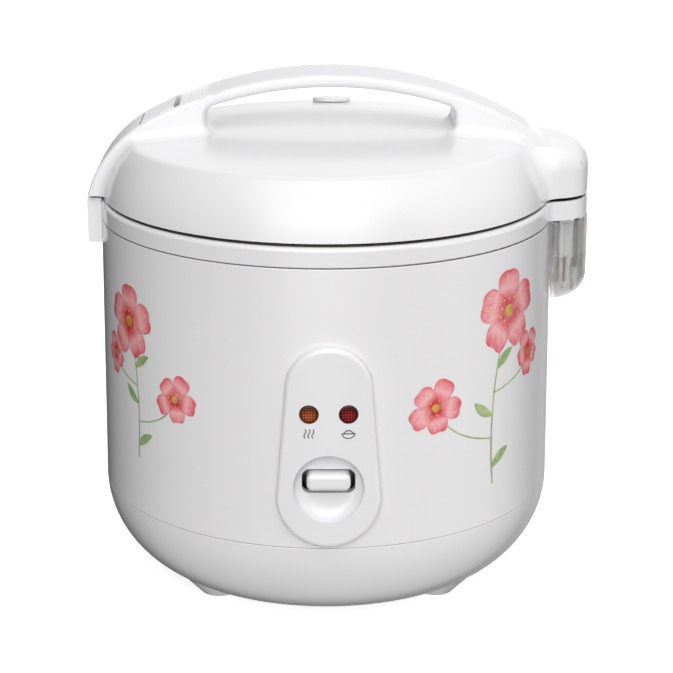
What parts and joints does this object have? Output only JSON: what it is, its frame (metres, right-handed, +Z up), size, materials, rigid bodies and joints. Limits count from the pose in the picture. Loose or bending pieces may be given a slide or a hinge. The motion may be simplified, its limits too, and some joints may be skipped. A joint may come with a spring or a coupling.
{
  "type": "rice cooker",
  "caption": "Round electric rice cooker with a hinged domed lid under an arched carry handle, a push latch, a clear dew collector and a front panel with lamps and a cook lever.",
  "frame": {"origin": "on the table, under the axis of the round body", "axes": "+Z up along the body's axis, -Y out of the control panel, +X towards the lid hinge"},
  "size_m": [0.288, 0.2698, 0.2939],
  "materials": {
    "white_plastic": "smooth glossy white moulding",
    "body_paint": "very light grey gloss paint on sheet",
    "clear_plastic": "clear moulding, clean",
    "amber_lens": "amber moulded lens with a fine grid of points",
    "red_lens": "dark red moulded lens with a fine grid of points",
    "board": "green circuit board",
    "lamp_glass": "small clear lamp",
    "steel": "plain pressed steel",
    "aluminium": "spun or cast aluminium",
    "ferrite": "sintered ferrite",
    "black_plastic": "moulded black plastic",
    "brass": "plated contact blade",
    "ceramic": "glazed ceramic",
    "rubber": "silicone rubber"
  },
  "bodies": {
    "base": {"base_shell": "white_plastic", "foot_front_left": "white_plastic", "foot_front_right": "white_plastic", "foot_rear_left": "white_plastic", "foot_rear_right": "white_plastic", "base_screws": "steel", "outer_body": "body_paint", "rim_ring": "white_plastic", "latch_catch": "white_plastic", "hinge_pin": "steel", "hinge_spring": "steel", "control_panel": "white_plastic", "lens_keep_warm": "amber_lens", "lens_cook": "red_lens", "lamp_board": "board", "lamp_keep_warm": "lamp_glass", "lamp_cook": "lamp_glass", "board_screws": "steel", "lever_pin": "steel", "switch_bracket": "steel", "micro_switch": "black_plastic", "inner_can": "steel", "keep_warm_band": "aluminium", "heater_plate": "aluminium", "heater_element": "steel", "heater_screws": "steel", "inner_pot": "aluminium", "sensor_housing": "steel", "sensor_spring": "steel", "power_inlet": "black_plastic", "inlet_blades": "brass", "terminal_block": "ceramic", "thermal_fuse": "steel"},
    "lid": {"lid_cover": "white_plastic", "handle_cap": "white_plastic", "lid_liner": "white_plastic", "lid_screws": "steel", "inner_lid_plate": "aluminium", "lid_gasket": "rubber", "inner_lid_grommet": "rubber", "steam_tube": "rubber", "latch_pin": "steel", "button_pin": "steel", "button_spring": "steel"},
    "vent": {"steam_cap": "white_plastic"},
    "hook": {"latch_hook": "white_plastic"},
    "button": {"release_button": "white_plastic"},
    "lever": {"cook_lever": "white_plastic", "lever_arm": "steel"},
    "magnet": {"magnet": "ferrite", "magnet_rod": "steel"},
    "sensor": {"sensor_cap": "aluminium", "sensor_ferrite": "ferrite"},
    "dew": {"dew_collector": "clear_plastic"}
  },
  "joints": [
    {"name": "lid_hinge", "type": "hinge", "parent": "base", "child": "lid", "pos_m": [0.143, 0, 0.2429], "axis": [0, 1, 0], "range_deg": [0, 80], "stiffness_Nm_per_rad": 0.2, "springref_deg": 143.24},
    {"name": "button_press", "type": "hinge", "parent": "lid", "child": "button", "pos_m": [-0.103, 0, 0.26122], "axis": [0, 1, 0], "range_deg": [0, 7], "stiffness_Nm_per_rad": 0.4, "springref_deg": -5.73, "deforming": ["button_spring"]},
    {"name": "hook_turn", "type": "hinge", "parent": "lid", "child": "hook", "pos_m": [-0.1215, 0, 0.241], "axis": [0, 1, 0], "range_deg": [-6.2, 0]},
    {"name": "steam_cap_lift", "type": "slide", "parent": "lid", "child": "vent", "axis": [0, 0.1202, 0.9927], "range_m": [0, 0.012]},
    {"name": "cook_lever_press", "type": "hinge", "parent": "base", "child": "lever", "pos_m": [0, -0.0896, 0.0735], "axis": [1, 0, 0], "range_deg": [0, 3], "stiffness_Nm_per_rad": 0.5, "springref_deg": -5.73},
    {"name": "magnet_lift", "type": "slide", "parent": "base", "child": "magnet", "axis": [0, 0, 1], "range_m": [0, 0.0051]},
    {"name": "sensor_press", "type": "slide", "parent": "base", "child": "sensor", "axis": [0, 0, 1], "range_m": [-0.0028, 0], "stiffness_N_per_m": 300, "springref_m": 0.004, "deforming": ["sensor_spring"]},
    {"name": "dew_collector_pull", "type": "slide", "parent": "base", "child": "dew", "axis": [0, 0, -1], "range_m": [0, 0.045]}
  ],
  "couplings": [
    {"joint": "hook_turn", "follows": "button_press", "ratio": -0.86},
    {"joint": "magnet_lift", "follows": "cook_lever_press", "m_per_rad": 0.0896}
  ]
}
